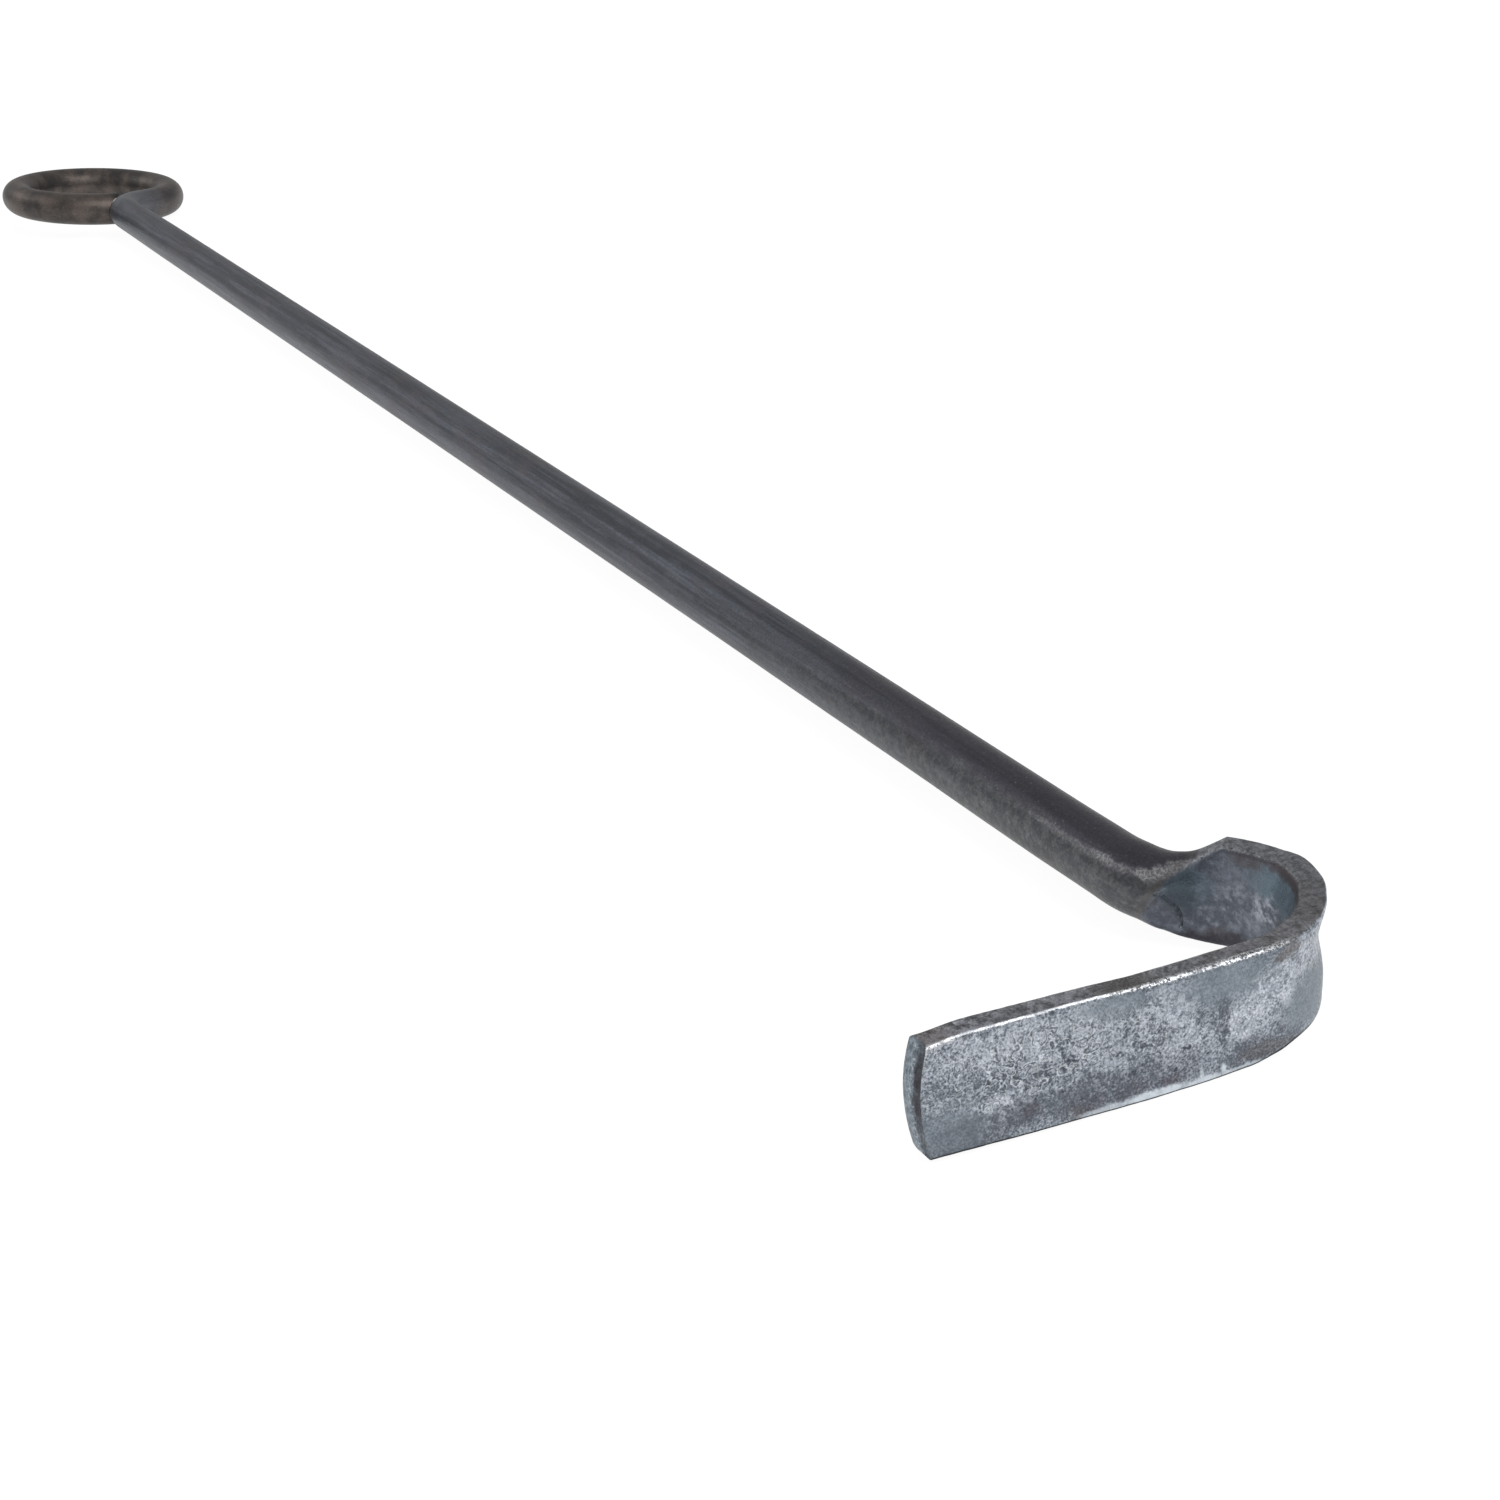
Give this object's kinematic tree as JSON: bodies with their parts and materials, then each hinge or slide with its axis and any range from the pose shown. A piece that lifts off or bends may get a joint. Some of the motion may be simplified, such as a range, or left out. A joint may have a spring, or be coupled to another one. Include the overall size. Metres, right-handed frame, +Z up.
{
  "type": "charcoal rake",
  "caption": "Hand-forged charcoal rake: a straight round shank with a closed ring handle at one end and a flat blade bent across it through a crook at the other.",
  "frame": {"origin": "on the surface that the rake lies on, under the middle of its overall length and width", "axes": "+Y along the shank from the blade to the ring handle, +X to the side that the crook bulges to, with the blade reaching to -X, and +Z up from the surface that the rake lies on"},
  "size_m": [0.1018, 0.7636, 0.0213],
  "materials": {
    "handle_steel": "dark brown-black forge scale, matt, worn a little on the top of the ring",
    "shank_steel": "dark grey mill scale with a soft sheen, browner on top and bluer at the side",
    "neck_steel": "hammered dark scale with a burnished ridge, a seam at the shoulder and a small cold shut",
    "strap_steel": "pale blue-grey heat scale with fine wrinkles, pits and brown stains, bright on the worn edges"
  },
  "bodies": {
    "root": {"ring_handle": "handle_steel", "ring_root": "handle_steel", "shank": "shank_steel", "neck": "neck_steel", "crook": "strap_steel", "blade": "strap_steel"}
  },
  "joints": []
}
